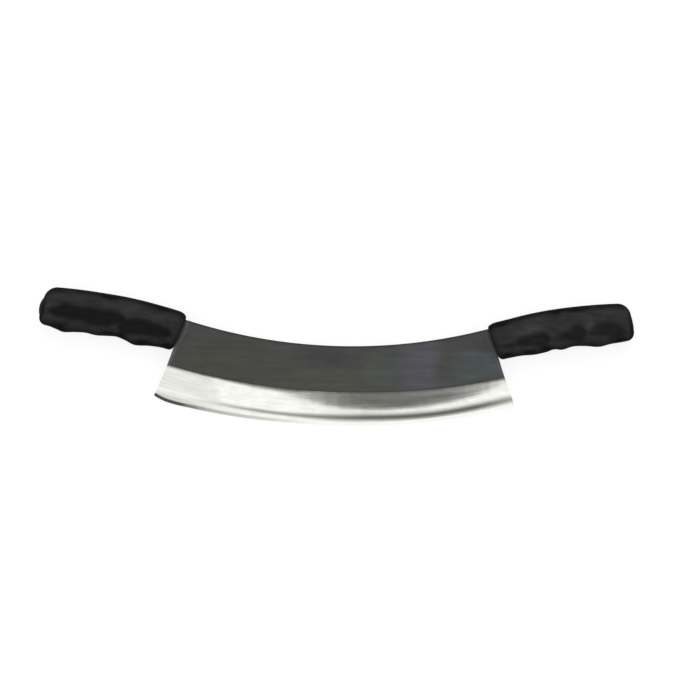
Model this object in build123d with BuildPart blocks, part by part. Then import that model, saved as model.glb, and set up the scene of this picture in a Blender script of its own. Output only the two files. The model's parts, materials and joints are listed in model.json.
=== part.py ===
from build123d import *
import os
from math import asin, atan, cos, pi, radians, sin, sqrt

# Two-handled mincing knife: a rocking blade with a tang at each end, and a grip moulded round each tang.
# Lengths are in millimetres and angles in degrees.
# The pieces are drawn in the plane of the blade: x runs along the knife from its middle, and y from the
# lowest point of the cutting edge to the spine. The knife lies on its side, so that plane leans until the
# belly of the edge and both grips touch the surface below.

# Blade
blade_thickness = 3.0
blade_depth = 68.0  # cutting edge to spine, at the middle
edge_radius = 580.0
edge_half_span = 154.4  # middle of the knife to the corner between edge and heel
spine_radius = 461.0
spine_half_span = 129.4  # middle of the knife to where the spine meets a grip
heel_radius = 400.0
grind_width = 28.4  # polished band, measured from the edge
hone_width = 7.2  # narrow band at the edge itself
hone_thickness = 1.3
edge_thickness = 0.2
spine_chamfer = 0.5

# Tangs, hidden in the grips
tang_relief = 0.2  # a side, so that each face of the blade ends at the grips
tang_tip_width = 12.0
tang_overlap = 5.0  # how far each tang's sketch reaches back into the blade
flat_margin = 0.1  # the blade's full thickness ends this far in front of the grip
lock_hole_diameter = 6.0
lock_hole_count = 3
first_lock_hole = 24.0  # from the grip's front face
last_lock_hole = 16.0  # from the tang's tip

# Grips
grip_length = 120.0  # along the bowed middle line
grip_bow_radius = 495.0
grip_start_slope = 16.5
grip_step = 4.9  # how far a grip stands above the spine where they meet
tip_cover = 24.0  # plastic beyond the end of the tang
heel_cover = 7.0  # plastic below the blade's end
front_rake = 22.0  # lean of the front face
butt_rake = 12.5  # lean of the butt
upper_reach = 18.0  # middle line to the top
lower_reach = 16.5  # middle line to the bottom of a finger groove
ridge_height = 2.3
ridge_count = 3
first_ridge = 32.0  # from the front face
last_ridge = 29.4  # from the butt
front_half_thickness = 10.6
butt_half_thickness = 11.6
palm_swell = 1.4
groove_inset = 1.2  # how far a finger groove draws in the grip's sides
front_rounding = 3.5
butt_rounding = 8.0
rounding_limit_share = 0.8  # the butt's rounding keeps below this share of its half thickness
oval_power = 2.5  # 2 is an ellipse, and more is squarer
stations_per_ridge = 4
front_round_stations = 3
butt_round_stations = 6
section_points = 28

# Beyond everything that it cuts
overrun = 10.0


# Sizes that follow from those above
root_width = upper_reach + lower_reach - grip_step - heel_cover
tang_thickness = blade_thickness - 2 * tang_relief
tang_length = grip_length - tip_cover
lock_hole_pitch = (tang_length - first_lock_hole - last_lock_hole) / (lock_hole_count - 1)
ridge_pitch = (grip_length - first_ridge - last_ridge) / (ridge_count - 1)
butt_radius = min(butt_rounding, rounding_limit_share * (butt_half_thickness - groove_inset))


# The blade's outline and the grip's front face
def spine_height(x):
    return blade_depth + spine_radius - sqrt(spine_radius**2 - x**2)


front_lean = radians(front_rake)
face_up = Vector(-sin(front_lean), cos(front_lean))
face_out = Vector(cos(front_lean), sin(front_lean))
spine_corner = Vector(spine_half_span, spine_height(spine_half_span))
heel_corner = spine_corner - face_up * root_width
grip_start = spine_corner - face_up * (upper_reach - grip_step)
edge_centre = Vector(0, edge_radius)
edge_spread = asin(edge_half_span / edge_radius)


def below_edge_centre(radius, turn):
    return edge_centre + Vector(sin(turn), -cos(turn)) * radius


# The grip's shape, as sections that follow its middle line
def middle_of_grip(run):
    start = radians(grip_start_slope)
    slope = start - run / grip_bow_radius
    return grip_start + Vector(sin(start) - sin(slope), cos(slope) - cos(start)) * grip_bow_radius


def grip_rake(run):
    return radians(front_rake + (butt_rake - front_rake) * run / grip_length)


def ridge(run):
    height = 0
    for number in range(ridge_count):
        distance = abs(run - first_ridge - number * ridge_pitch)
        if distance < ridge_pitch / 2:
            height += (1 + cos(2 * pi * distance / ridge_pitch)) / 2
    return height


def signed_power(value, power):
    return abs(value) ** power * (1 if value >= 0 else -1)


def grip_section(run, rounding):
    """Points round one section: side is through the plate, and up is towards the top of the grip."""
    share = run / grip_length
    half_thickness = front_half_thickness + (butt_half_thickness - front_half_thickness) * share
    half_thickness += palm_swell * sin(pi * share)
    points = []
    for number in range(section_points):
        turn = 2 * pi * number / section_points
        low_share = max(0, -sin(turn))
        side_reach = half_thickness - groove_inset * (1 - ridge(run)) * low_share - rounding
        up_reach = upper_reach if sin(turn) > 0 else lower_reach + ridge_height * ridge(run)
        side = side_reach * signed_power(cos(turn), 2 / oval_power)
        up = (up_reach - rounding) * signed_power(sin(turn), 2 / oval_power)
        points.append((side, up))
    return points


def grip_stations():
    """Places of the sections along the grip, each with what the end roundings take off its reaches."""
    stations = []
    for number in range(front_round_stations):
        turn = pi / 2 * number / front_round_stations
        stations.append((front_rounding * (1 - cos(turn)), front_rounding * (1 - sin(turn))))
    straight = grip_length - front_rounding - butt_radius
    count = round(straight / ridge_pitch * stations_per_ridge)
    for number in range(count):
        stations.append((front_rounding + straight * number / count, 0))
    for number in range(butt_round_stations + 1):
        turn = pi / 2 * number / butt_round_stations
        stations.append((grip_length - butt_radius * (1 - sin(turn)), butt_radius * (1 - cos(turn))))
    return stations


# How the knife lies: the floor touches the edge's belly and is tangent to both grips
floor_slopes = []
top_points = []
for run, rounding in grip_stations():
    for side, up in grip_section(run, rounding):
        height = middle_of_grip(run).Y + up * cos(grip_rake(run))
        floor_slopes.append((side - edge_thickness / 2) / height)
        top_points.append((height, side))
rest_tilt = atan(max(floor_slopes))
reach_in_y = max(height * cos(rest_tilt) + side * sin(rest_tilt) for height, side in top_points)
flat = Plane(
    origin=(0, -reach_in_y / 2, edge_thickness / 2 * cos(rest_tilt)),
    x_dir=(1, 0, 0),
    z_dir=(0, -sin(rest_tilt), cos(rest_tilt)),
)

# Blade: its outline, cut to a disc whose rim carries the ground and the honed bands, then its tangs
with BuildPart() as blade:
    with BuildSketch(flat) as outline:
        with BuildLine():
            end_of_flat = spine_corner - face_out * flat_margin
            end_of_heel = heel_corner - face_out * flat_margin
            edge_corner = below_edge_centre(edge_radius, edge_spread)
            past_corner = below_edge_centre(edge_radius + overrun, edge_spread)
            RadiusArc((0, blade_depth), end_of_flat, -spine_radius)
            Line(end_of_flat, end_of_heel)
            RadiusArc(end_of_heel, edge_corner, heel_radius)
            Line(edge_corner, past_corner)
            RadiusArc(past_corner, below_edge_centre(edge_radius + overrun, 0), edge_radius + overrun)
            mirror(about=Plane.YZ)
        make_face()
    extrude(amount=blade_thickness, both=True)
    rim_plane = Plane(origin=flat.from_local_coords(edge_centre), x_dir=-flat.y_dir, z_dir=flat.x_dir)
    with BuildSketch(rim_plane) as rim:
        with BuildLine():
            Polyline(
                (0, 0),
                (0, blade_thickness / 2),
                (edge_radius - grind_width, blade_thickness / 2),
                (edge_radius - hone_width, hone_thickness / 2),
                (edge_radius, edge_thickness / 2),
                (edge_radius, 0),
            )
            mirror(about=Plane.XZ)
        make_face()
    revolve(axis=Axis(rim_plane.origin, flat.z_dir), mode=Mode.INTERSECT)
    spine_edges = blade.edges().filter_by(lambda edge: edge.geom_type == GeomType.CIRCLE)
    spine_edges = spine_edges.filter_by(lambda edge: abs(edge.radius - spine_radius) < edge_thickness)
    chamfer(spine_edges, spine_chamfer)
    with BuildSketch(flat) as tangs:
        with BuildLine():
            tip = middle_of_grip(tang_length)
            tip_rake = grip_rake(tang_length)
            tip_side = Vector(-sin(tip_rake), cos(tip_rake)) * (tang_tip_width / 2)
            tip_end = tip + Vector(cos(tip_rake), sin(tip_rake)) * (tang_tip_width / 2)
            ThreePointArc(tip + tip_side, tip_end, tip - tip_side)
            Polyline(
                tip - tip_side,
                heel_corner,
                heel_corner - face_out * tang_overlap,
                spine_corner - face_out * tang_overlap,
                spine_corner,
                tip + tip_side,
            )
        make_face()
        for number in range(lock_hole_count):
            with Locations(middle_of_grip(first_lock_hole + number * lock_hole_pitch)):
                Circle(lock_hole_diameter / 2, mode=Mode.SUBTRACT)
        mirror(about=Plane.YZ)
    extrude(amount=tang_thickness / 2, both=True)

# Grips: one loft through all sections, hollowed by the tang that it is moulded round
with BuildPart() as right_handle:
    for run, rounding in grip_stations():
        rake = grip_rake(run)
        section_plane = Plane(
            origin=flat.from_local_coords(middle_of_grip(run)),
            x_dir=-flat.z_dir,
            z_dir=flat.x_dir * cos(rake) + flat.y_dir * sin(rake),
        )
        with BuildSketch(section_plane):
            with BuildLine():
                Spline(*grip_section(run, rounding), periodic=True)
            make_face()
    loft()
    add(blade.part, mode=Mode.SUBTRACT)

with BuildPart() as left_handle:
    mirror(right_handle.part, about=Plane.YZ)

os.makedirs("parts", exist_ok=True)
blade.part.label = "blade"
export_step(blade.part, "parts/blade.step")
right_handle.part.label = "right_handle"
export_step(right_handle.part, "parts/right_handle.step")
left_handle.part.label = "left_handle"
export_step(left_handle.part, "parts/left_handle.step")
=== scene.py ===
import json
from math import asin, atan2, cos, hypot, pi, radians, sin, sqrt

import bpy
from mathutils import Matrix, Vector, noise
from mathutils.geometry import delaunay_2d_cdt


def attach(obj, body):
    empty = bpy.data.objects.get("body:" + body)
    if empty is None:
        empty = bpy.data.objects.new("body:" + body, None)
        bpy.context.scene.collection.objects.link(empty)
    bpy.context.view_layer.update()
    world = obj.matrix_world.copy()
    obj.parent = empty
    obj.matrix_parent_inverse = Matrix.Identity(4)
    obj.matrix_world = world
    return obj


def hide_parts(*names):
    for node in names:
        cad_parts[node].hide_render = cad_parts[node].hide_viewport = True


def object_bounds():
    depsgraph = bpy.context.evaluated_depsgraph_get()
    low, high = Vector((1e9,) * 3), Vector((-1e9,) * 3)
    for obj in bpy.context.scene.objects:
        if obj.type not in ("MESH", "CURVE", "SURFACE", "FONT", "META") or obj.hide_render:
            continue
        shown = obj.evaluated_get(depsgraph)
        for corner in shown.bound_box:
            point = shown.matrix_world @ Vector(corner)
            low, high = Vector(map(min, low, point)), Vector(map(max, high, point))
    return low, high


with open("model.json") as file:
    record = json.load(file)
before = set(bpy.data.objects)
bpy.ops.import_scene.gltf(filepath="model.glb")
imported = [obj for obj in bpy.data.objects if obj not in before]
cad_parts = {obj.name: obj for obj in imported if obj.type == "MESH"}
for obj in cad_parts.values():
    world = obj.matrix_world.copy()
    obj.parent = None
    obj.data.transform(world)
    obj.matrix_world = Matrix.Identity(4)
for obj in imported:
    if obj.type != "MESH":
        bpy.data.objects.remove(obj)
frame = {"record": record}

# Two-handled mincing knife, lying on its side. Lengths are in metres and angles in degrees.
# Most shapes are drawn in the plane of the blade: u runs along the knife from its middle, v from the
# lowest point of the cutting edge to the spine, and w out of the plate's upper side.
cad_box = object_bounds()
millimetre = 0.001

# Blade
blade_thickness = 0.003
blade_depth = 0.0680
edge_radius = 0.580
edge_half_span = 0.1544
spine_radius = 0.461
spine_half_span = 0.1294
spine_rounding = 0.0005
heel_radius = 0.400
hone_width = 0.0072
hone_thickness = 0.0013
edge_thickness = 0.0001
edge_lift = 0.0001

# Slight waves of the rolled plate: height, margin in which they die out, waves per metre along and up, seed
plate_wave = 0.00003
plate_wave_margin = 0.010
plate_waves = (22, 40)
plate_wave_seed = 3.0

# Ground band: its upper border lies this far from the edge, and comes nearer to it between these shares of
# the way from left to right
ground_width = 0.0286
ground_runout = 0.0023
runout_shares = (0.50, 0.97)
ground_bulge_share = 0.30
ground_ripple = 0.00022
ripples_per_radian = 90

# The edge is a little fuller near its left end: knots of u and of what is added there, in millimetres
edge_fullness = (
    (-154.4, 0), (-146, 1.9), (-137, 2.4), (-127, 2.1), (-114, 1.7), (-100, 1.4), (-85, 1.1), (-66, 0.7),
    (-50, 0.3), (-30, 0), (154.4, 0),
)

# Painted reflections: a dark line along the shoulder between the ground band and the honed one, and a dark
# line at the edge
line_height = 0.00705
line_sag = 0.0011
line_sag_middle = 0.085
line_sag_reach = 0.065
line_reach_left = 0.0027
line_reach_right = 0.0054
line_widening = (-0.050, 0.020)
edge_reflection_border = (0.0022, 0.0035)

# Tangs
tang_thickness = 0.0026
tang_length = 0.096
tang_tip_width = 0.012
lock_hole_radius = 0.003
lock_hole_places = (0.024, 0.052, 0.080)
mouth_gap = 0.0001

# Painted highlight: a lighter rim on the plate beside each grip, stronger beside the left one
highlight_rim_distance = 0.0022
highlight_rim_bow = 0.0016
highlight_rim_half_width = 0.0018
highlight_rim_strength_left = 1.0
highlight_rim_strength_right = 0.3

# Grips
grip_length = 0.120
grip_bow_radius = 0.495
grip_start_slope = 16.5
grip_step = 0.0049
heel_cover = 0.0070
front_rake = 22.0
butt_rake = 12.5
upper_reach = 0.0180
lower_reach = 0.0165
front_half_thickness = 0.0106
butt_half_thickness = 0.0116
palm_swell = 0.0014
front_rounding = 0.0035
front_corner_length = 0.0080
butt_rounding_side = 0.0080
butt_rounding_top = 0.0094
butt_rounding_bottom = 0.0066
oval_power = 2.5
seam_height = 0.00016
seam_half_width = 0.0007

# Hollows for the fingers: their soft borders wander in waves, given per metre along and up
hollow_depth = 0.0011
hollow_border = 0.0060
hollow_wander = 0.0018
hollow_waves = (70, 110)

# Painted shade where a grip rounds over to its top and underside, low down, at its front and at its butt
roundover_start = 0.0114
roundover_full = 0.0052
roundover_wander = 0.0012
roundover_waves = (90, 30)
roundover_seed_shift = 5
low_shade_border = (0.006, 0.013)
front_shade_reach = 0.0080
front_shade = 0.45
butt_shade_reach = 0.0060
cap_shade = 0.70
cap_shade_reach = 0.0018

# What differs between the two grips, in millimetres. Runs are measured along a grip from its front face.
# Top and underside are knots of run and distance from the middle line. A hollow for the fingers is given by
# knots of run and the heights of its upper and its lower border over the middle line, and is coloured with
# painted shade. A patch of painted shade is given by run, height, reach along, reach up and strength, which
# is negative for a painted highlight.
left_form = {
    "top": ((0, 18.4), (20, 18.4), (50, 18.4), (70, 17.9), (95, 17.6), (120, 17.2)),
    "front_corner": 4.5,
    "underside": (
        (0, 15.8), (10, 16.1), (20, 17.6), (32.5, 20.1), (42, 18.0), (50, 16.8), (58, 17.8), (67, 19.0),
        (77, 18.4), (86, 19.2), (96, 20.4), (103, 18.5), (110, 16.6), (120, 15.2),
    ),
    "hollows": (
        ((4, -3, -3), (11, 1.5, -8), (24, 3, -10), (38, 2.5, -11.5), (46, -1, -13), (53, -7, -7)),
        ((44, -2, -2), (52, 3.5, -6), (61, 4.4, -10.5), (75, 3.4, -11.5), (86, 3.4, -9), (98, 4.4, -8.5),
         (105, 2, -8.5), (114, -2, -2)),
    ),
    "hollow_strength": 1.0,
    "low_shade": 0.20,
    "patches": (
        (67, 16, 14, 5, 0.8), (20, 16, 9, 5, 0.5), (5, -13, 6, 5, 0.7), (25, -16, 12, 5, 0.6),
        (46, -15, 6, 4, 0.6), (57, -15.5, 12, 4.5, 0.7), (101, -15.5, 12, 5, 0.8), (119, -4, 6, 14, 0.6),
        (22, 8, 22, 5, -0.2), (46, 8, 9, 5, -0.3),
    ),
    "butt_bulge": 2.1,
    "seed": 3.0,
}
right_form = {
    "top": ((0, 16.9), (18, 17.0), (32, 17.6), (50, 18.1), (80, 18.2), (120, 18.1)),
    "front_corner": 3.4,
    "underside": (
        (0, 15.3), (12, 15.6), (20, 16.0), (30, 17.3), (41, 17.0), (48, 15.8), (55, 17.1), (65, 15.6),
        (75, 16.3), (87, 18.1), (98, 16.3), (107, 15.3), (113, 14.3), (120, 12.8),
    ),
    "hollows": (
        ((4, -4, -4), (8, -2.5, -6), (14, -3.5, -7), (21, -6, -6)),
        ((15, -6, -6), (21, -1, -8), (27, 0, -9.5), (38, 0.5, -11), (43, 0.5, -11), (48, -5, -5)),
        ((50, -7, -7), (57, -3.5, -9.5), (65, -0.5, -11), (70, 2.2, -12), (75, 0, -10), (80, -6, -6)),
        ((79, -6.5, -6.5), (86, -0.8, -9), (94, 2.8, -10), (101, 2, -11), (107, -0.5, -11), (115, -6, -6)),
    ),
    "hollow_strength": 0.80,
    "low_shade": 0.0,
    "patches": (
        (76, 15.5, 14, 5, 0.8), (58, 15.5, 10, 4, 0.4), (10, 14, 14, 4, 0.5), (41, -14, 8, 5, 0.8),
        (28, -14, 9, 4, 0.5), (7, -12.5, 9, 4.5, 0.5), (105, -13, 12, 4, 0.4), (118, -6, 6, 14, 0.6),
        (34, 5, 22, 9, -0.8), (82, 2, 8, 11, -0.6), (12, 8, 14, 6, -0.3),
    ),
    "butt_bulge": 0.6,
    "seed": 11.0,
}

# Fineness of the meshes
plate_columns = 236
plate_rows = 16
band_steps = 16
hone_steps = 7
rounding_steps = 4
heel_steps = 10
tip_steps = 10
hole_steps = 24
grip_around = 160
grip_straight_steps = 150
grip_front_steps = 8
grip_butt_steps = 12
cap_steps = 6

# Search for the band's ends at the heels
widest_turn_share = 1.1
turn_halvings = 40

# Triangulation: keep the triangles inside the lines, and join points nearer than this, in millimetres
inside_lines = 1
join_distance = 1e-4

# Photograph: what the picture's width covers at the knife, and the point of the blade's plane at its middle
picture_width = 0.598
picture_middle = (0.01183, 0.06487)
picture_roll = 1.76
camera_distance = 2.5
camera_clip_end = 50
sensor_width = 36.0

# Sizes that follow
band_width = ground_width - hone_width
root_width = upper_reach + lower_reach - grip_step - heel_cover
edge_spread = asin(edge_half_span / edge_radius)
mounts = {mount["name"]: mount for mount in frame["record"]["mounts"]}
plate_normal = Vector(mounts["upper_flat"]["axis"]).normalized()
rest_tilt = atan2(-plate_normal.y, plate_normal.z)


# The plane of the blade, as the knife lies
def lying(u, v, w=0.0):
    """A point of the blade's own plane in the frame of the model."""
    y = cad_box[0].y + v * cos(rest_tilt) - w * sin(rest_tilt)
    z = edge_lift + v * sin(rest_tilt) + w * cos(rest_tilt)
    return Vector((u, y, z))


def smooth_step(value):
    value = min(1.0, max(0.0, value))
    return value * value * (3 - 2 * value)


def mix(low, high, share):
    return low + (high - low) * share


def smooth_between(value, start, full):
    """How far a value is on its way from a start to a full value, smoothed at both."""
    return smooth_step((value - start) / (full - start))


def wander(along, across, waves, seed):
    """Smooth noise at a place, with its waves given per metre along and across."""
    return noise.noise(Vector((along * waves[0], across * waves[1], seed)))


def through(knots, run):
    """The height at a run of a smooth curve through knots, which are in millimetres."""
    place = run / millimetre
    number = 0
    while number < len(knots) - 2 and place > knots[number + 1][0]:
        number += 1
    (start, low), (end, high) = knots[number], knots[number + 1]
    before = knots[max(number - 1, 0)]
    after = knots[min(number + 2, len(knots) - 1)]
    slope_in = (high - before[1]) / (end - before[0]) * (end - start)
    slope_out = (after[1] - low) / (after[0] - start) * (end - start)
    share = (place - start) / (end - start)
    height = mix(low, high, share * share * (3 - 2 * share))
    height += slope_in * share * (1 - share) ** 2 - slope_out * share**2 * (1 - share)
    return height * millimetre


def grey(value):
    return (value, value, value, 1.0)


# Node trees
class Nodes:
    """The node tree of a material or a world, with short ways to add the nodes used below."""

    def __init__(self, owner):
        owner.use_nodes = True
        self.owner = owner
        self.nodes = owner.node_tree.nodes
        self.links = owner.node_tree.links

    def add(self, kind, inputs=None, **settings):
        node = self.nodes.new(kind)
        for name, value in settings.items():
            setattr(node, name, value)
        for name, value in (inputs or {}).items():
            self.set(node, name, value)
        return node

    def set(self, node, name, value):
        if isinstance(value, bpy.types.NodeSocket):
            self.links.new(value, node.inputs[name])
        else:
            node.inputs[name].default_value = value

    def math(self, operation, first, second):
        return self.add("ShaderNodeMath", {0: first, 1: second}, operation=operation).outputs[0]

    def vector(self, operation, first, second):
        return self.add("ShaderNodeVectorMath", {0: first, 1: second}, operation=operation)

    def attribute(self, name):
        return self.add("ShaderNodeAttribute", attribute_name=name).outputs["Fac"]

    def combine(self, x, y):
        return self.add("ShaderNodeCombineXYZ", {"X": x, "Y": y}).outputs[0]

    def place(self, scale):
        """Object coordinates, scaled differently along each axis to draw a pattern out."""
        where = self.add("ShaderNodeTexCoord").outputs["Object"]
        return self.vector("MULTIPLY", where, scale).outputs[0]

    def band_place(self, along_scale, across_scale):
        """Places along and across the blade's bands, scaled in the same way."""
        along = self.math("MULTIPLY", self.attribute("along"), along_scale)
        across = self.math("MULTIPLY", self.attribute("across"), across_scale)
        return self.combine(along, across)

    def noise(self, vector, detail=3.0, roughness=0.5):
        inputs = {"Vector": vector, "Scale": 1.0, "Detail": detail, "Roughness": roughness}
        return self.add("ShaderNodeTexNoise", inputs).outputs["Fac"]

    def plus(self, value, other, share):
        """A value, with a share of another one added."""
        return self.math("ADD", value, self.math("MULTIPLY", other, share))

    def both(self, first, second, first_share):
        """Two values, the first with its share and the second with the rest."""
        return self.plus(self.math("MULTIPLY", first, first_share), second, 1 - first_share)

    def remap(self, value, low, high, new_low=0.0, new_high=1.0, kind="LINEAR"):
        inputs = {"Value": value, 1: low, 2: high, 3: new_low, 4: new_high}
        return self.add("ShaderNodeMapRange", inputs, interpolation_type=kind).outputs[0]

    def blend(self, share, first, second, kind="MIX"):
        """Two colours blended. They are inputs 6 and 7 of the node."""
        node = self.add("ShaderNodeMix", data_type="RGBA", blend_type=kind)
        for socket, value in ((0, share), (6, first), (7, second)):
            self.set(node, socket, value)
        return node.outputs[2]

    def ramp(self, value, low, high, stops):
        """A colour that changes with a value, through stops at places between low and high."""
        node = self.add("ShaderNodeValToRGB", {"Fac": self.remap(value, low, high)})
        elements = node.color_ramp.elements
        while len(elements) < len(stops):
            elements.new(1.0)
        for element, (place, colour) in zip(elements, stops):
            element.position = (place - low) / (high - low)
            element.color = colour
        return node.outputs["Color"]

    def grey_ramp(self, value, low, high, stops):
        return self.ramp(value, low, high, [(place, grey(tone)) for place, tone in stops])

    def bump(self, height, distance, strength):
        inputs = {"Height": height, "Distance": distance, "Strength": strength}
        return self.add("ShaderNodeBump", inputs).outputs["Normal"]

    def seen_directly(self):
        """1 for a ray that shows the background: from the camera, mirrored or refracted."""
        path = self.add("ShaderNodeLightPath")
        mirrored = self.math("MAXIMUM", path.outputs["Is Glossy Ray"], path.outputs["Is Transmission Ray"])
        return self.math("MAXIMUM", path.outputs["Is Camera Ray"], mirrored)

    def finish(self, **inputs):
        surface = self.nodes["Principled BSDF"]
        for name, value in inputs.items():
            self.set(surface, name.replace("_", " "), value)
        return self.owner


# Finishes. A pattern's scale is in waves per metre, along the knife first.
# These spans hold nearly all values of one noise, and of two noises added up.
noise_span = (0.3, 0.7)
two_noises_span = (0.7, 1.3)

# Dark scale on the plate
neutral_tint = (0.063, 0.063, 0.060, 1.0)
tint_patches = (
    # middle u and v, reach along and up, strength, colour
    ((-0.100, 0.052), (0.045, 0.026), 0.8, (0.058, 0.059, 0.047, 1.0)),
    ((-0.012, 0.038), (0.050, 0.012), 0.8, (0.069, 0.072, 0.053, 1.0)),
    ((-0.008, 0.059), (0.030, 0.008), 0.8, (0.048, 0.048, 0.049, 1.0)),
    ((0.042, 0.044), (0.028, 0.024), 0.9, (0.069, 0.081, 0.071, 1.0)),
    ((0.072, 0.055), (0.024, 0.050), 0.9, (0.086, 0.082, 0.099, 1.0)),
    ((0.112, 0.074), (0.032, 0.013), 0.8, (0.056, 0.056, 0.055, 1.0)),
    ((0.122, 0.054), (0.032, 0.017), 0.9, (0.066, 0.080, 0.082, 1.0)),
)
tint_drift_scale = (35, 60, 60)
tint_drift_share = 0.9
tint_border = (0.75, 1.65)
plate_streak_scale = (16, 300, 300)
plate_streak_tones = (0.33, 0.64)
plate_streak_share = 0.28
plate_cloud_scale = (60, 150, 150)
plate_cloud_tones = (0.36, 0.62)
plate_cloud_share = 0.40
plate_dark_tone = 0.026
grind_dark_reach = 0.0022
grind_dark_share = 0.42
spine_dark_reach = 0.003
spine_dark_share = 0.75
# Painted highlight: the tone of the lighter rim beside each grip
plate_rim_highlight_tone = 0.135
plate_rim_highlight_share = 0.8
plate_roughness = (0.42, 0.52)
plate_grain_scale = (2200, 2600, 2600)
plate_grain_depth = 0.00002
streak_depth_share = 0.5


def temper_tints(s):
    """The plate's own colour, with faint temper tints in patches."""
    where = s.combine(s.attribute("along"), s.attribute("height"))
    drift = s.math("MULTIPLY", s.noise(s.place(tint_drift_scale)), tint_drift_share)
    colour = neutral_tint
    for (u, v), (reach_u, reach_v), strength, tint in tint_patches:
        offset = s.vector("SUBTRACT", where, (u, v, 0)).outputs[0]
        scaled = s.vector("MULTIPLY", offset, (1 / reach_u, 1 / reach_v, 0)).outputs[0]
        distance = s.math("ADD", s.vector("LENGTH", scaled, (0, 0, 0)).outputs["Value"], drift)
        share = s.remap(distance, *tint_border, strength, 0.0, "SMOOTHSTEP")
        colour = s.blend(share, colour, tint)
    return colour


def scale_finish():
    """Dark heat scale on the rolled plate, tinted in patches, with fine streaks along it."""
    s = Nodes(bpy.data.materials.new("dark_scale"))
    colour = temper_tints(s)
    streaks = s.noise(s.place(plate_streak_scale), roughness=0.55)
    clouds = s.noise(s.place(plate_cloud_scale), detail=5, roughness=0.6)
    streak_tone = s.grey_ramp(streaks, *noise_span, zip(noise_span, plate_streak_tones))
    cloud_tone = s.grey_ramp(clouds, *noise_span, zip(noise_span, plate_cloud_tones))
    colour = s.blend(plate_streak_share, colour, streak_tone, "OVERLAY")
    colour = s.blend(plate_cloud_share, colour, cloud_tone, "OVERLAY")
    at_grind = s.remap(s.attribute("across"), -grind_dark_reach, 0.0, 0.0, grind_dark_share, "SMOOTHSTEP")
    at_spine = s.remap(s.attribute("spine"), 0.0, spine_dark_reach, spine_dark_share, 0.0, "SMOOTHSTEP")
    colour = s.blend(s.math("MAXIMUM", at_grind, at_spine), colour, grey(plate_dark_tone))
    # Paints the highlight rim beside the grips over the scale
    colour = s.blend(s.math("MULTIPLY", s.attribute("rim_highlight"), plate_rim_highlight_share), colour, grey(plate_rim_highlight_tone))
    rough = s.remap(s.math("ADD", streaks, clouds), *two_noises_span, *plate_roughness)
    grain = s.noise(s.place(plate_grain_scale), detail=2)
    normal = s.bump(s.plus(grain, streaks, streak_depth_share), plate_grain_depth, strength=0.4)
    return s.finish(Base_Color=colour, Metallic=0.25, Roughness=rough, Normal=normal, Specular_IOR_Level=0.3)


# Ground and honed steel. A stop is a place along the blade, with a colour, a strength or a reach there.
ground_steels = (
    # name, roughnesses, tones
    ("ground_band", (0.045, 0.075), (0.72, 0.86)),
    ("honed_edge", (0.14, 0.24), (0.78, 0.88)),
)
band_span = (-0.16, 0.17)
mark_scale = (4200, 90)
band_streak_scale = (26, 520)
band_streak_share = 0.55
band_cloud_scale = (90, 200, 200)
band_tone_span = (0.38, 0.62)
dark_blue_share = 0.975
pale_blue_share = 0.985
smudge_tint = (0.60, 0.61, 0.575, 1.0)
smudge_border = (-0.097, -0.070)
smudge_drift_share = 0.03
smudge_streaks = (0.40, 0.60)
smudge_strengths = (0.40, 1.0)
fringe_tint = (0.060, 0.060, 0.057, 1.0)
fringe_reaches = (
    (-0.095, 0.0024), (-0.065, 0.0046), (-0.045, 0.0046), (-0.020, 0.0024), (0.120, 0.0024), (0.150, 0.0046),
)
fringe_strengths = ((-0.030, 0.88), (-0.010, 0.22), (0.110, 0.22), (0.140, 0.88))
break_scale = (110, 40, 40)
line_break_share = 0.012
# Painted reflection: the tints of the shoulder's dark line along the blade
line_tints = (
    (-0.115, (0.80, 0.80, 0.78, 1.0)), (-0.085, (0.45, 0.45, 0.44, 1.0)),
    (-0.060, (0.28, 0.28, 0.27, 1.0)), (-0.010, (0.22, 0.22, 0.21, 1.0)),
    (0.035, (0.105, 0.105, 0.100, 1.0)), (0.128, (0.105, 0.100, 0.095, 1.0)),
    (0.158, (0.31, 0.30, 0.29, 1.0)),
)
edge_reflection_break_share = 0.016
# Painted reflection: the tints of the dark line at the edge, darkest at the left end
edge_reflection_tints = (
    (-0.145, (0.060, 0.060, 0.056, 1.0)), (-0.122, (0.075, 0.074, 0.070, 1.0)),
    (-0.103, (0.38, 0.38, 0.37, 1.0)), (-0.050, (0.58, 0.58, 0.57, 1.0)),
    (-0.005, (0.84, 0.84, 0.83, 1.0)),
)
mark_depth = 0.000006
mark_depth_share = 0.6


def steel_colour(s, streaks, clouds, tones):
    """Streaky bright steel, with a smudge at its left end and a dark fringe along the grind line."""
    along = s.attribute("along")
    dark, pale = tones
    low, high = band_tone_span
    dark_steel = (dark, dark, dark * dark_blue_share, 1.0)
    pale_steel = (pale, pale, pale * pale_blue_share, 1.0)
    tone = s.both(streaks, clouds, band_streak_share)
    colour = s.ramp(tone, low, high, ((low, dark_steel), (high, pale_steel)))
    smudge = s.remap(s.plus(along, clouds, smudge_drift_share), *smudge_border, 1.0, 0.0, "SMOOTHSTEP")
    smudge = s.math("MULTIPLY", smudge, s.remap(streaks, *smudge_streaks, *smudge_strengths))
    colour = s.blend(smudge, colour, smudge_tint)
    fringe_reach = s.grey_ramp(along, *band_span, fringe_reaches)
    fringe_strength = s.grey_ramp(along, *band_span, fringe_strengths)
    fringe = s.remap(s.attribute("across"), 0.0, fringe_reach, 1.0, 0.0, "SMOOTHSTEP")
    return s.blend(s.math("MULTIPLY", fringe_strength, fringe), colour, fringe_tint)


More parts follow.
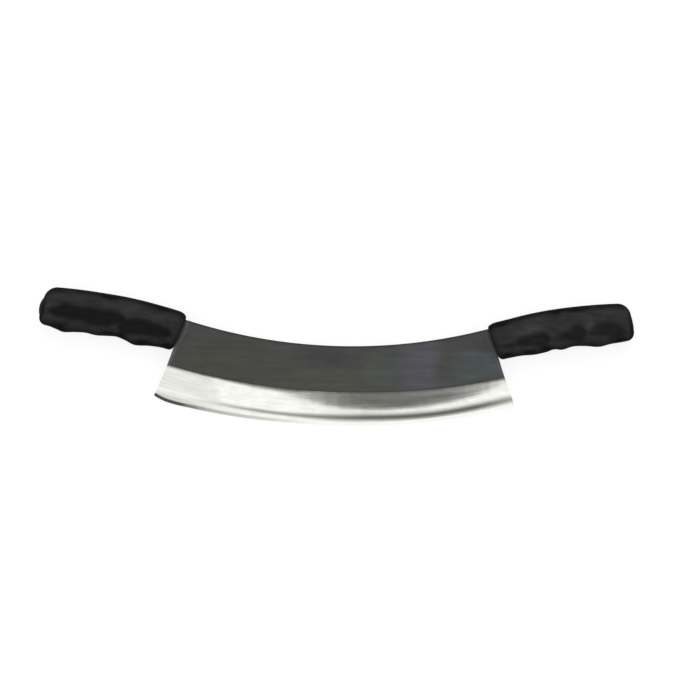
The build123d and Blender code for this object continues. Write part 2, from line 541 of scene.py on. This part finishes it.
def line_and_edge_reflection(s, colour):
    """A colour with painted reflections drawn over it: the shoulder's dark line and a dark line at the edge.
    """
    along = s.attribute("along")
    breaks = s.noise(s.place(break_scale))
    line_tint = s.ramp(s.plus(along, breaks, line_break_share), *band_span, line_tints)
    colour = s.blend(s.attribute("line"), colour, line_tint)
    edge_reflection_tint = s.ramp(s.plus(along, breaks, edge_reflection_break_share), *band_span, edge_reflection_tints)
    edge_reflection = s.remap(s.attribute("height_over_edge"), *edge_reflection_border, 1.0, 0.0, "SMOOTHSTEP")
    return s.blend(edge_reflection, colour, edge_reflection_tint)


def ground_finish(name, roughness, tones):
    """Bright ground steel, with fine wheel marks across it and long streaks along it."""
    s = Nodes(bpy.data.materials.new(name))
    marks = s.noise(s.band_place(*mark_scale), roughness=0.6)
    streaks = s.noise(s.band_place(*band_streak_scale), detail=4, roughness=0.55)
    clouds = s.noise(s.place(band_cloud_scale), detail=4)
    colour = line_and_edge_reflection(s, steel_colour(s, streaks, clouds, tones))
    rough = s.remap(s.math("ADD", marks, streaks), *two_noises_span, *roughness)
    normal = s.bump(s.both(marks, streaks, mark_depth_share), mark_depth, strength=0.25)
    return s.finish(Base_Color=colour, Metallic=1.0, Roughness=rough, Normal=normal)


# Plastic. A pair of tones, factors or roughnesses is for the low and the high end of what it follows.
mottle_scale = (80, 230, 230)
raised_tones = (0.018, 0.034)
# Painted shade: the finger hollows are coloured darker than the raised plastic
shaded_hollow_tones = (0.0060, 0.0090)
shade_span = (-1.0, 1.1)
shade_factors = (1.76, 0.18)
hollow_roughness = (0.46, 0.58)
mottle_roughness = (0.03, -0.03)
dark_shade_span = (0.3, 1.0)
dark_shade_roughness = (0.46, 0.80)
plastic_grain_scale = (2600, 2600, 2600)
plastic_grain_depth = 0.00006
raised_grain_share = 0.35


def plastic_finish():
    """Black moulded plastic: satin, with a matt grain and painted shade in the hollows, and painted shade
    where a grip rounds over.
    """
    s = Nodes(bpy.data.materials.new("black_plastic"))
    hollow = s.attribute("hollow")
    shade = s.attribute("shade")
    mottle = s.noise(s.place(mottle_scale), detail=4, roughness=0.6)
    raised_tone = s.remap(mottle, *noise_span, *raised_tones)
    shaded_hollow_tone = s.remap(mottle, *noise_span, *shaded_hollow_tones)
    raised = s.math("MULTIPLY", raised_tone, s.math("SUBTRACT", 1.0, hollow))
    tone = s.math("ADD", raised, s.math("MULTIPLY", shaded_hollow_tone, hollow))
    # Painted shade and highlights, read from the shade attribute, scale the tone
    tone = s.math("MULTIPLY", tone, s.remap(shade, *shade_span, *shade_factors))
    colour = s.add("ShaderNodeCombineColor", {"Red": tone, "Green": tone, "Blue": tone}).outputs[0]
    rough = s.remap(hollow, 0.0, 1.0, *hollow_roughness)
    rough = s.math("ADD", rough, s.remap(mottle, *noise_span, *mottle_roughness))
    rough = s.math("MAXIMUM", rough, s.remap(shade, *dark_shade_span, *dark_shade_roughness))
    grain = s.noise(s.place(plastic_grain_scale), detail=2)
    grain = s.math("MULTIPLY", grain, s.remap(hollow, 0.0, 1.0, raised_grain_share, 1.0))
    normal = s.bump(grain, plastic_grain_depth, strength=0.6)
    return s.finish(Base_Color=colour, Roughness=rough, Normal=normal, Specular_IOR_Level=0.05)


def new_object(name, data):
    """A new object, linked to the scene."""
    made = bpy.data.objects.new(name, data)
    bpy.context.scene.collection.objects.link(made)
    return made


def mesh_piece(name, points, faces, attributes, materials, face_materials=None, sharp=None):
    """A mesh with named values at its points, smooth apart from its sharp edges."""
    mesh = bpy.data.meshes.new(name)
    mesh.from_pydata([tuple(point) for point in points], [], faces)
    for key, values in attributes.items():
        layer = mesh.attributes.new(key, "FLOAT", "POINT")
        layer.data.foreach_set("value", values)
    for material in materials:
        mesh.materials.append(material)
    if face_materials:
        mesh.polygons.foreach_set("material_index", face_materials)
    mesh.shade_smooth()
    if sharp:
        edge_is_sharp = [tuple(sorted(edge.vertices)) in sharp for edge in mesh.edges]
        mesh.attributes.new("sharp_edge", "BOOLEAN", "EDGE").data.foreach_set("value", edge_is_sharp)
    mesh.update()
    return new_object(name, mesh)


# Blade outline
def section_up(rake):
    """The direction up a grip's section, which leans towards the blade by its rake."""
    return Vector((-sin(rake), cos(rake)))


def section_out(rake):
    """The direction out of a grip's section, away from the blade."""
    return Vector((cos(rake), sin(rake)))


def spine_height(u):
    return blade_depth + spine_radius - sqrt(spine_radius**2 - u**2)


face_up = section_up(radians(front_rake))
face_out = section_out(radians(front_rake))
spine_corner = Vector((spine_half_span, spine_height(spine_half_span)))
heel_corner = spine_corner - face_up * root_width
edge_corner = Vector((edge_half_span, edge_radius - edge_radius * cos(edge_spread)))
spine_centre = Vector((0, blade_depth + spine_radius))
edge_centre = Vector((0, edge_radius))
grip_start = spine_corner - face_up * (upper_reach - grip_step)


def below(centre, radius, turn):
    """The point at a turn from straight below a centre."""
    return centre + Vector((sin(turn), -cos(turn))) * radius


def middle_of_grip(run):
    start = radians(grip_start_slope)
    slope = start - run / grip_bow_radius
    return grip_start + Vector((sin(start) - sin(slope), cos(slope) - cos(start))) * grip_bow_radius


def grip_rake(run):
    return radians(mix(front_rake, butt_rake, run / grip_length))


def heel_centre():
    """Centre of the shallow hollow between the heel's corner and the edge's corner."""
    chord = edge_corner - heel_corner
    outward = Vector((-chord.y, chord.x)).normalized()
    return (heel_corner + edge_corner) / 2 + outward * sqrt(heel_radius**2 - (chord.length / 2) ** 2)


heel_middle = heel_centre()


def heel_turn(radius):
    """The turn about the edge's centre at which a line of that radius meets the heel, found by halving."""
    low, high = 0.0, edge_spread * widest_turn_share
    for _ in range(turn_halvings):
        turn = (low + high) / 2
        if (below(edge_centre, radius, turn) - heel_middle).length > heel_radius:
            low = turn
        else:
            high = turn
    return low


# The blade's surface. A row's reach is its distance from the grind line towards the edge, at the left end.
def band_half_thickness(reach):
    if reach <= band_width:
        share = reach / band_width
        fall = (blade_thickness - hone_thickness) / 2
        return blade_thickness / 2 - fall * mix(share, share * share, ground_bulge_share)
    return mix(hone_thickness / 2, edge_thickness / 2, (reach - band_width) / hone_width)


def runout(share):
    """How much nearer to the edge the grind line is, at a share of the way from left to right."""
    return ground_runout * smooth_between(share, *runout_shares)


def band_radius(reach, share):
    left = max(0.0, 1 - reach / band_width)
    return edge_radius - ground_width + reach + runout(share) * left


def fullness(u):
    return max(0.0, through(edge_fullness, u))


def band_reaches():
    reaches = [band_width * step / band_steps for step in range(band_steps)]
    reaches += [band_width + hone_width * step / hone_steps for step in range(hone_steps + 1)]
    return reaches


class Plate:
    """Collects the blade's points, each with half its thickness and its reach, and the lines between them."""

    def __init__(self):
        self.points = []
        self.half = []
        self.reach = []
        self.lines = []

    def point(self, place, half, reach):
        self.points.append(Vector(place) / millimetre)
        self.half.append(half)
        self.reach.append(reach)
        return len(self.points) - 1

    def row(self, numbers):
        self.lines += list(zip(numbers, numbers[1:]))


def add_band(plate):
    """Rows from the grind line to the edge, each from heel to heel."""
    rows = []
    for reach in band_reaches():
        left = -heel_turn(band_radius(reach, 0.0))
        right = heel_turn(band_radius(reach, 1.0))
        numbers = []
        for column in range(plate_columns + 1):
            share = column / plate_columns
            turn = mix(left, right, share)
            radius = band_radius(reach, share)
            if 0 < column < plate_columns:
                ripple = noise.noise(Vector((turn * ripples_per_radian, 0, 0)))
                radius += ground_ripple * ripple * max(0.0, 1 - reach / band_width)
                radius += fullness(edge_radius * sin(turn)) * max(0.0, (reach - band_width) / hone_width)
            numbers.append(plate.point(below(edge_centre, radius, turn), band_half_thickness(reach), reach))
        plate.row(numbers)
        rows.append(numbers)
    for upper, lower in zip(rows, rows[1:]):
        plate.row([upper[0], lower[0]])
        plate.row([upper[-1], lower[-1]])
    return rows


def add_spine(plate):
    """Rows that round the spine's corner."""
    rows = []
    for step in range(rounding_steps + 1):
        turn = pi / 2 * step / rounding_steps
        depth = spine_rounding * (1 - cos(turn))
        drop = spine_rounding * (1 - sin(turn))
        end = asin((spine_half_span + depth * face_up.x - mouth_gap) / spine_radius)
        numbers = []
        for column in range(plate_columns + 1):
            place = below(spine_centre, spine_radius + depth, mix(-end, end, column / plate_columns))
            numbers.append(plate.point(place, blade_thickness / 2 - drop, -ground_width))
        plate.row(numbers)
        rows.append(numbers)
    return rows


def add_body(plate, grind_row, spine_row):
    """Points between the grind line and the spine."""
    for row in range(1, plate_rows):
        for column in range(1, plate_columns):
            low = plate.points[grind_row[column]] * millimetre
            high = plate.points[spine_row[column]] * millimetre
            place = low.lerp(high, row / plate_rows)
            plate.point(place, blade_thickness / 2, -(place - low).length)


def add_heel(plate, grind_corner, sign):
    """Points from the grind line up the heel to the grip."""
    first = plate.points[grind_corner] * millimetre
    first.x = abs(first.x)
    numbers = [grind_corner]
    for step in range(1, heel_steps + 1):
        straight = first.lerp(heel_corner, step / heel_steps)
        place = heel_middle + (straight - heel_middle).normalized() * heel_radius
        reach = -(place - first).length
        numbers.append(plate.point(place * Vector((sign, 1)), blade_thickness / 2, reach))
    plate.row(numbers)
    return numbers


# This reach gives the tangs the plate's dark scale, without its waves
tang_reach = -1.0


def add_tang(plate, sign):
    """The tang's outline, from the heel round its tip to the spine."""
    tip = middle_of_grip(tang_length)
    rake = grip_rake(tang_length)
    tip_side = section_up(rake) * (tang_tip_width / 2)
    tip_out = section_out(rake) * (tang_tip_width / 2)
    corners = [heel_corner + face_out * mouth_gap]
    for step in range(tip_steps + 1):
        turn = pi * step / tip_steps
        corners.append(tip - tip_side * cos(turn) + tip_out * sin(turn))
    corners.append(spine_corner + face_out * mouth_gap)
    return [plate.point(place * Vector((sign, 1)), tang_thickness / 2, tang_reach) for place in corners]


def add_lock_holes(plate, sign):
    middles = []
    for run in lock_hole_places:
        middle = middle_of_grip(run) * Vector((sign, 1))
        ring = []
        for step in range(hole_steps):
            place = below(middle, lock_hole_radius, 2 * pi * step / hole_steps)
            ring.append(plate.point(place, tang_thickness / 2, tang_reach))
        plate.row(ring + ring[:1])
        middles.append(middle)
    return middles


def build_plate():
    """The plate with its tangs, its outline as a loop of points, and the middles of the tangs' holes."""
    plate = Plate()
    band_rows = add_band(plate)
    spine_rows = add_spine(plate)
    add_body(plate, band_rows[0], spine_rows[-1])
    holes = []
    sides = []
    for sign, column in ((-1, 0), (1, -1)):
        heel = add_heel(plate, band_rows[0][column], sign)
        top = [row[column] for row in spine_rows]
        tang = add_tang(plate, sign)
        plate.row(top)
        plate.row([top[-1], heel[-1]])
        plate.row([heel[-1]] + tang + [top[0]])
        plate.row([tang[0], tang[-1]])
        holes += add_lock_holes(plate, sign)
        band_side = [row[column] for row in band_rows]
        sides.append(tang[::-1] + heel[::-1] + band_side[1:-1])
    left, right = sides
    outline = spine_rows[0] + right + band_rows[-1][::-1] + left[::-1]
    return plate, outline, holes


def inside(place, loop):
    """Whether a place lies within a closed loop of places."""
    within = False
    for a, b in zip(loop, loop[1:] + loop[:1]):
        if (a.y > place.y) != (b.y > place.y):
            crossing = a.x + (place.y - a.y) * (b.x - a.x) / (b.y - a.y)
            if place.x < crossing:
                within = not within
    return within


def plate_triangles(plate, outline, holes):
    """The plate's triangles, and its points as the triangulation returns them."""
    found, _, triangles, origins, _, _ = delaunay_2d_cdt(
        plate.points, plate.lines, [], inside_lines, join_distance, True)
    places = [point * millimetre for point in found]
    numbers = [origin[0] for origin in origins]
    loop = [plate.points[number] * millimetre for number in outline]
    on_outline = set(outline)
    kept = []
    for a, b, c in triangles:
        middle = (places[a] + places[b] + places[c]) / 3
        in_hole = any((middle - hole).length < lock_hole_radius for hole in holes)
        at_outline = all(numbers[corner] in on_outline for corner in (a, b, c))
        if in_hole or (at_outline and not inside(middle, loop)):
            continue
        ahead = places[b] - places[a]
        aside = places[c] - places[a]
        clockwise = ahead.x * aside.y - ahead.y * aside.x < 0
        kept.append((a, c, b) if clockwise else (a, b, c))
    return places, numbers, kept


def plate_wave_height(u, v, side, reach):
    """How far the plate waves out. It waves only within ground_width of the grind line."""
    if not -ground_width <= reach < 0:
        return 0.0
    calm = smooth_step(-reach / plate_wave_margin) * smooth_step((spine_height(u) - v) / plate_wave_margin)
    return plate_wave * wander(u, v, plate_waves, side * plate_wave_seed) * calm


def plate_faces(triangles, reach):
    """Both faces of the plate and its walls, the finish of each, and the edges that stay sharp."""
    scale, ground, honed = range(3)
    count = len(reach)
    faces = []
    finishes = []
    directed_edges = set()
    for a, b, c in triangles:
        middle = (reach[a] + reach[b] + reach[c]) / 3
        finish = scale if middle < 0 else ground if middle < band_width else honed
        faces += [(a, b, c), (a + count, c + count, b + count)]
        finishes += [finish, finish]
        directed_edges |= {(a, b), (b, c), (c, a)}
    sharp = set()
    for a, b in sorted(directed_edges):
        on_rim = (b, a) not in directed_edges
        if on_rim:
            faces.append((b, a, a + count, b + count))
            finishes.append(honed if min(reach[a], reach[b]) >= band_width else scale)
        if on_rim or (reach[a] == reach[b] and reach[a] in (0.0, band_width)):
            low, high = min(a, b), max(a, b)
            sharp |= {(low, high), (low + count, high + count)}
    return faces, finishes, sharp


def line_share(u, rise):
    """How much of the shoulder's dark line shows at a height above the edge."""
    reach = mix(line_reach_left, line_reach_right, smooth_between(u, *line_widening))
    sag = line_sag * (1 - smooth_step(abs(u - line_sag_middle) / line_sag_reach))
    return 1 - smooth_step(abs(rise - line_height + sag) / reach)


def highlight_rim_share(u, v):
    """How much of the painted highlight rim beside a grip shows at a place."""
    away = spine_corner - Vector((abs(u), v))
    off_middle = min(1.0, abs(away.dot(face_up) / root_width - 0.5) * 2)
    distance = away.dot(face_out) - highlight_rim_distance - highlight_rim_bow * (1 - off_middle**2)
    strength = highlight_rim_strength_left if u < 0 else highlight_rim_strength_right
    return strength * (1 - min(1.0, abs(distance) / highlight_rim_half_width))


def blade_values(place, reach):
    """What the finishes read at a point of the blade."""
    u, v = place
    rise = edge_radius - (edge_centre - place).length
    return {
        "along": u,
        "height": v,
        "across": reach,
        "spine": spine_height(min(abs(u), spine_half_span)) - v,
        "rim_highlight": highlight_rim_share(u, v),
        "line": line_share(u, rise),
        "height_over_edge": rise + fullness(u),
    }


def blade_piece(materials):
    """The blade: both faces of the plate, and the walls between them at its outline and its holes."""
    plate, outline, holes = build_plate()
    flat_places, numbers, triangles = plate_triangles(plate, outline, holes)
    half = [plate.half[number] for number in numbers]
    reach = [plate.reach[number] for number in numbers]
    places = []
    for side in (1, -1):
        for (u, v), thickness, row in zip(flat_places, half, reach):
            places.append(lying(u, v, side * (thickness + plate_wave_height(u, v, side, row))))

    faces, finishes, sharp = plate_faces(triangles, reach)
    used = sorted({number for face in faces for number in face})
    new_number = {number: place for place, number in enumerate(used)}
    faces = [tuple(new_number[number] for number in face) for face in faces]
    sharp = {(new_number[a], new_number[b]) for a, b in sharp}
    count = len(flat_places)
    rows = [blade_values(flat_places[number % count], reach[number % count]) for number in used]
    values = {name: [row[name] for row in rows] for name in rows[0]}
    points = [places[number] for number in used]
    return mesh_piece("mincing_blade", points, faces, values, materials, finishes, sharp)


# Grips
def corner_drop(distance, length, depth=None):
    """What a corner takes off at a distance from its end. It is as deep as long if no depth is given."""
    if distance >= length:
        return 0.0
    depth = length if depth is None else depth
    return depth * (1 - sqrt(1 - (1 - distance / length) ** 2))


def grip_reaches(form, run):
    """Half the thickness at a run, and how far the top and the underside are from the middle line."""
    way = run / grip_length
    to_butt = grip_length - run
    half_thickness = mix(front_half_thickness, butt_half_thickness, way) + palm_swell * sin(pi * way)
    half_thickness -= corner_drop(run, front_rounding)
    half_thickness -= corner_drop(to_butt, butt_rounding_side)
    top = through(form["top"], run) - corner_drop(to_butt, butt_rounding_top)
    top -= corner_drop(run, front_corner_length, form["front_corner"] * millimetre)
    underside = through(form["underside"], run) - corner_drop(to_butt, butt_rounding_bottom)
    underside -= corner_drop(run, front_rounding)
    return half_thickness, top, underside


def hollow_borders(form, run):
    """The upper and lower borders of the hollows that a run crosses."""
    borders = []
    for knots in form["hollows"]:
        if knots[0][0] * millimetre < run < knots[-1][0] * millimetre:
            upper = through([(place, high) for place, high, _ in knots], run)
            lower = through([(place, low) for place, _, low in knots], run)
            borders.append((upper, lower))
    return borders


def hollow_share(form, borders, run, up):
    """How deep a place lies in one of the shallow hollows for the fingers."""
    drift = hollow_wander * wander(run, up, hollow_waves, form["seed"])
    deepest = 0.0
    for upper, lower in borders:
        inward = min(upper - up, up - lower) + drift
        deepest = max(deepest, smooth_step(0.5 + inward / hollow_border))
    return deepest * form["hollow_strength"]


def patch_share(form, run, up):
    """How much painted shade a place has beyond the plastic round it; below zero it is a painted highlight.
    """
    total = 0.0
    for middle, height, along, across, strength in form["patches"]:
        distance = hypot((run / millimetre - middle) / along, (up / millimetre - height) / across)
        total += strength * (1 - smooth_step(distance))
    return total


def grip_shade(form, run, side, up):
    """How much painted shade the plastic has at a place, from 0 on the plain sides to 1 where the grip rounds
    over.
    """
    to_butt = grip_length - run
    at_front = front_shade * smooth_step(1 - run / front_shade_reach)
    at_butt = smooth_step(1 - to_butt / butt_shade_reach)
    drift = roundover_wander * wander(run, up, roundover_waves, form["seed"] + roundover_seed_shift)
    at_roundover = smooth_step((roundover_start + drift - abs(side)) / (roundover_start - roundover_full))
    low_down = form["low_shade"] * smooth_between(-up, *low_shade_border)
    shade = max(at_roundover, at_front, at_butt, low_down) + patch_share(form, run, up)
    return mix(cap_shade, shade, smooth_step(to_butt / cap_shade_reach))


def grip_ring(form, run):
    """The points round a grip at one run: place in the blade's plane, side, hollow and shade."""
    half_thickness, top, underside = grip_reaches(form, run)
    upward = section_up(grip_rake(run))
    borders = hollow_borders(form, run)
    points = []
    for number in range(grip_around):
        turn = 2 * pi * number / grip_around
        up_reach = top if sin(turn) > 0 else underside
        power = abs(cos(turn) / half_thickness) ** oval_power + abs(sin(turn) / up_reach) ** oval_power
        reach = power ** (-1 / oval_power)
        side = reach * cos(turn)
        up = reach * sin(turn)
        hollow = hollow_share(form, borders, run, up)
        side *= 1 - hollow_depth * hollow / half_thickness
        seam = seam_height * max(0.0, 1 - abs(side) / seam_half_width)
        up += seam if up > 0 else -seam
        points.append((middle_of_grip(run) + upward * up, side, hollow, grip_shade(form, run, side, up)))
    return points


def grip_runs():
    """Where a grip's rings are, nearer to each other at its two ends."""
    runs = []
    for step in range(grip_front_steps):
        runs.append(front_corner_length * (1 - cos(pi / 2 * step / grip_front_steps)))
    for step in range(grip_straight_steps + 1):
        runs.append(mix(front_corner_length, grip_length - butt_rounding_top, step / grip_straight_steps))
    for step in range(1, grip_butt_steps + 1):
        runs.append(grip_length - butt_rounding_top * (1 - sin(pi / 2 * step / grip_butt_steps)))
    return runs


class Skin:
    """Collects a grip's points, ring by ring, and the faces between the rings."""

    def __init__(self, form):
        self.form = form
        self.points = []
        self.faces = []

    def ring(self, points):
        start = len(self.points)
        self.points += points
        return list(range(start, start + len(points)))

    def join(self, before, now):
        for number in range(grip_around):
            after = (number + 1) % grip_around
            self.faces.append((before[number], before[after], now[after], now[number]))

    def cap(self, ring, at_butt):
        """Closes an end with rings that shrink to its middle. The butt is slightly domed."""
        base = [self.points[number] for number in ring]
        centre = sum((point[0] for point in base), Vector((0, 0))) / grip_around
        bulge = self.form["butt_bulge"] * millimetre if at_butt else 0.0
        dome = section_out(grip_rake(grip_length)) * bulge
        before = ring
        for step in range(1, cap_steps):
            share = 1 - step / cap_steps
            points = []
            for place, side, _, shade in base:
                shrunk = centre + (place - centre) * share + dome * (1 - share * share)
                points.append((shrunk, side * share, 0.0, shade))
            now = self.ring(points)
            if at_butt:
                self.join(before, now)
            else:
                self.join(now, before)
            before = now
        _, _, _, middle_shade = base[0]
        middle = self.ring([(centre + dome, 0.0, 0.0, middle_shade)])[0]
        for number in range(grip_around):
            first, second = before[number], before[(number + 1) % grip_around]
            self.faces.append((first, second, middle) if at_butt else (second, first, middle))


def grip_piece(name, sign, form, material):
    skin = Skin(form)
    rings = [skin.ring(grip_ring(form, run)) for run in grip_runs()]
    for before, now in zip(rings, rings[1:]):
        skin.join(before, now)
    skin.cap(rings[0], False)
    skin.cap(rings[-1], True)
    points = [lying(sign * place.x, place.y, side) for place, side, _, _ in skin.points]
    faces = [face[::-1] for face in skin.faces] if sign > 0 else skin.faces
    _, _, hollows, shades = zip(*skin.points)
    return mesh_piece(name, points, faces, {"hollow": hollows, "shade": shades}, [material])


# Stage
floor_half_size = 6.0
floor_tone = 0.23
floor_glow = 0.82
room_light = 0.60
lamps = (
    # name, place, width and depth, radiance
    ("back_lamp", (0.0, 1.6, 1.5), (2.4, 1.2), 1.5),
    ("left_lamp", (-1.6, -0.2, 1.2), (1.2, 1.2), 2.0),
    ("right_lamp", (1.6, -0.2, 1.2), (1.2, 1.2), 2.0),
)


def rectangle(right, near, far):
    return ((-right, near), (right, near), (right, far), (-right, far))


# What the blade mirrors: a dim ceiling over the plate, its grey tongue and a streak over the band, and a
# bright wall. Outlines are points of u and v, and tones are places along u with their radiance.
panel_right = 1.4
tongue_border = -0.020
tongue_outline = (
    (-0.135, tongue_border), (-0.070, -0.085), (-0.005, -0.121), (0.030, -0.128), (0.070, -0.131),
    (0.102, -0.129), (0.128, -0.127), (0.146, -0.123), (0.160, -0.120), (0.190, -0.110), (0.211, -0.098),
    (0.235, -0.076), (0.262, tongue_border),
)
tongue_tones = (
    (-0.080, 0.75), (-0.030, 0.38), (0.012, 0.20), (0.055, 0.150), (0.110, 0.145), (0.160, 0.20),
    (0.190, 0.30), (0.212, 0.50), (0.236, 0.92),
)
streak_outline = ((0.020, -0.088), (0.200, -0.080), (0.200, -0.064), (0.020, -0.066))
streak_tones = ((0.020, 0.20), (0.100, 0.28), (0.160, 0.33), (0.190, 0.50))
panels = (
    # name, height, outline, tones, share of blue
    ("dim_panel", 1.30, rectangle(panel_right, tongue_border, 1.3), ((0.0, 0.13), (panel_right, 0.13)), 0.97),
    ("tongue_panel", 1.30, tongue_outline, tongue_tones, 0.93),
    ("streak_panel", 1.29, streak_outline, streak_tones, 0.93),
    ("bright_panel", 1.35, rectangle(panel_right, -0.9, 0.1), ((0.0, 1.2), (panel_right, 1.2)), 0.97),
)


def stage_plane(name, corners, material):
    mesh = bpy.data.meshes.new(name)
    mesh.from_pydata(corners, [], [tuple(range(len(corners)))])
    mesh.materials.append(material)
    plane = new_object(name, mesh)
    return plane


def build_floor():
    """A pale floor that takes the soft shadow, and shows white to the camera."""
    s = Nodes(bpy.data.materials.new("pale_floor"))
    s.nodes.clear()
    diffuse = s.add("ShaderNodeBsdfDiffuse", {"Color": grey(floor_tone)})
    glow = s.add("ShaderNodeEmission", {"Strength": s.math("MULTIPLY", s.seen_directly(), floor_glow)})
    both = s.add("ShaderNodeAddShader", {0: diffuse.outputs[0], 1: glow.outputs[0]})
    s.add("ShaderNodeOutputMaterial", {"Surface": both.outputs[0]})
    outline = rectangle(floor_half_size, -floor_half_size, floor_half_size)
    stage_plane("floor", [(x, y, cad_box[0].z) for x, y in outline], s.owner)


def build_world():
    s = Nodes(bpy.data.worlds.new("studio"))
    s.nodes.clear()
    room = s.add("ShaderNodeBackground", {"Color": grey(1.0), "Strength": room_light})
    white = s.add("ShaderNodeBackground", {"Color": grey(1.0), "Strength": 1.0})
    choose = s.add("ShaderNodeMixShader", {0: s.seen_directly(), 1: room.outputs[0], 2: white.outputs[0]})
    s.add("ShaderNodeOutputWorld", {"Surface": choose.outputs[0]})
    bpy.context.scene.world = s.owner


def build_lamp(name, place, size, radiance):
    """A soft rectangular lamp that faces the knife."""
    data = bpy.data.lights.new(name, "AREA")
    data.shape = "RECTANGLE"
    data.size, data.size_y = size
    data.energy = radiance * pi * size[0] * size[1]
    light = new_object(name, data)
    light.location = place
    light.rotation_euler = (-Vector(place)).to_track_quat("-Z", "Y").to_euler()
    light.visible_camera = False


def mirrored_panel(name, height, outline, tones, blue_share):
    """A glowing panel over the knife that shows only in its reflections."""
    s = Nodes(bpy.data.materials.new(name))
    s.nodes.clear()
    where = s.add("ShaderNodeTexCoord").outputs["Object"]
    along = s.add("ShaderNodeSeparateXYZ", {0: where}).outputs["X"]
    colours = [(place, (tone, tone, tone * blue_share, 1.0)) for place, tone in tones]
    colour = s.ramp(along, -panel_right, panel_right, colours)
    glow = s.add("ShaderNodeEmission", {"Color": colour, "Strength": 1.0})
    s.add("ShaderNodeOutputMaterial", {"Surface": glow.outputs[0]})
    panel = stage_plane(name, [lying(u, v, height) for u, v in outline], s.owner)
    for ray in ("camera", "diffuse", "transmission", "volume_scatter", "shadow"):
        setattr(panel, "visible_" + ray, False)


def build_camera():
    """Looks square at the plate, from far enough that the grips aren't drawn large."""
    data = bpy.data.cameras.new("camera")
    data.sensor_width = sensor_width
    data.lens = sensor_width * camera_distance / picture_width
    data.clip_end = camera_clip_end
    camera = new_object("camera", data)
    along = lying(1, 0) - lying(0, 0)
    upward = lying(0, 1) - lying(0, 0)
    roll = radians(picture_roll)
    right = along * cos(roll) + upward * sin(roll)
    top = upward * cos(roll) - along * sin(roll)
    turn = Matrix((right, top, right.cross(top))).transposed().to_4x4()
    camera.matrix_world = Matrix.Translation(lying(*picture_middle, camera_distance)) @ turn
    bpy.context.scene.camera = camera


bpy.context.scene.view_settings.view_transform = "Standard"
build_camera()
build_world()
build_floor()
for lamp in lamps:
    build_lamp(*lamp)
for panel in panels:
    mirrored_panel(*panel)

steels = [ground_finish(*steel) for steel in ground_steels]
blade = blade_piece([scale_finish(), *steels])
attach(blade, "root")
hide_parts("blade")

plastic = plastic_finish()
for name, sign, form in (("left", -1, left_form), ("right", 1, right_form)):
    grip = grip_piece(name + "_grip", sign, form, plastic)
    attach(grip, "root")
    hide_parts(name + "_handle")
